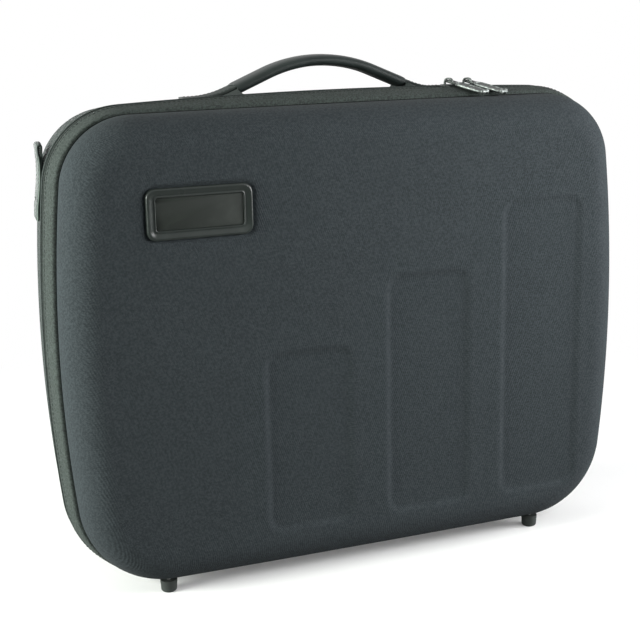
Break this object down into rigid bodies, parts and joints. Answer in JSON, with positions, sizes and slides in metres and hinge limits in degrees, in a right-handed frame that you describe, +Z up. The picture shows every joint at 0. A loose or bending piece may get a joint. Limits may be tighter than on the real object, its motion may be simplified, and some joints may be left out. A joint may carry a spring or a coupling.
{
  "type": "laptop case",
  "caption": "Moulded zip-closed clamshell case for a laptop, with a carrying handle, shoulder strap loops, rubber feet and padded inside.",
  "frame": {"origin": "on the floor under the middle of the case, at the bottoms of its feet", "axes": "+X to the right along the case, -Y to the front shell with the name plate, +Z up to the handle"},
  "size_m": [0.4286, 0.127, 0.3641],
  "materials": {
    "shell_fabric": "matte fine twill over moulded foam",
    "band_fabric": "matte grainy cloth",
    "piping": "satin",
    "zip_tape": "matte woven tape with moulded teeth",
    "zip_metal": "gunmetal, satin",
    "badge_gloss": "gloss",
    "badge_grey": "fine matte",
    "foot_rubber": "matte",
    "steel": "plated",
    "lining": "brushed lining cloth",
    "pocket_cloth": "plain woven cloth over card",
    "binding": "ribbed elastic",
    "webbing": "woven webbing",
    "grip_rubber": "satin",
    "loop_hide": "smooth, semi-gloss",
    "stiffener": "matte",
    "foam": "brushed cloth over foam",
    "patch": "hook and loop"
  },
  "bodies": {
    "base": {"rear_shell": "shell_fabric", "rear_zip_half": "zip_tape", "rear_zip_stops": "zip_metal", "hinge_strip": "band_fabric", "rear_feet": "foot_rubber", "rear_foot_screws": "steel", "handle_strap": "webbing", "handle_grip": "grip_rubber", "handle_plates": "steel", "handle_screws": "steel", "side_loop_left": "loop_hide", "side_loop_right": "loop_hide", "loop_plates": "stiffener", "loop_rivets": "zip_metal", "rear_lining": "lining", "laptop_pad": "foam", "corner_blocks": "foam", "lower_laptop_strap": "webbing", "upper_laptop_strap": "webbing", "strap_patches": "patch"},
    "lid": {"front_shell": "shell_fabric", "front_welt": "piping", "front_band": "band_fabric", "front_zip_half": "zip_tape", "front_zip_stops": "zip_metal", "badge_frame": "badge_gloss", "badge_plate": "badge_grey", "front_feet": "foot_rubber", "front_foot_screws": "steel", "front_lining": "lining", "lid_pocket": "pocket_cloth", "pocket_binding": "binding"},
    "inner_slider": {"zip_slider_inner": "zip_metal"},
    "outer_slider": {"zip_slider_outer": "zip_metal"},
    "inner_pull": {"zip_pull_inner": "zip_metal"},
    "outer_pull": {"zip_pull_outer": "zip_metal"}
  },
  "joints": [
    {"name": "lid_hinge", "type": "hinge", "parent": "base", "child": "lid", "pos_m": [0, -0.01105, 0.0076], "axis": [1, 0, 0], "range_deg": [0, 120]},
    {"name": "inner_slider_run", "type": "slide", "parent": "lid", "child": "inner_slider", "axis": [-0.9998, 0, 0.0178], "range_m": [0, 0.05]},
    {"name": "outer_slider_run", "type": "slide", "parent": "lid", "child": "outer_slider", "axis": [0.9994, 0, -0.0334], "range_m": [0, 0.03]},
    {"name": "inner_pull_hinge", "type": "hinge", "parent": "inner_slider", "child": "inner_pull", "pos_m": [0.088, -0.01105, 0.3431], "axis": [-0.891, -0.454, 0], "range_deg": [0, 120]},
    {"name": "outer_pull_hinge", "type": "hinge", "parent": "outer_slider", "child": "outer_pull", "pos_m": [0.103, -0.01105, 0.3427], "axis": [-0.891, -0.454, 0], "range_deg": [0, 120]}
  ]
}
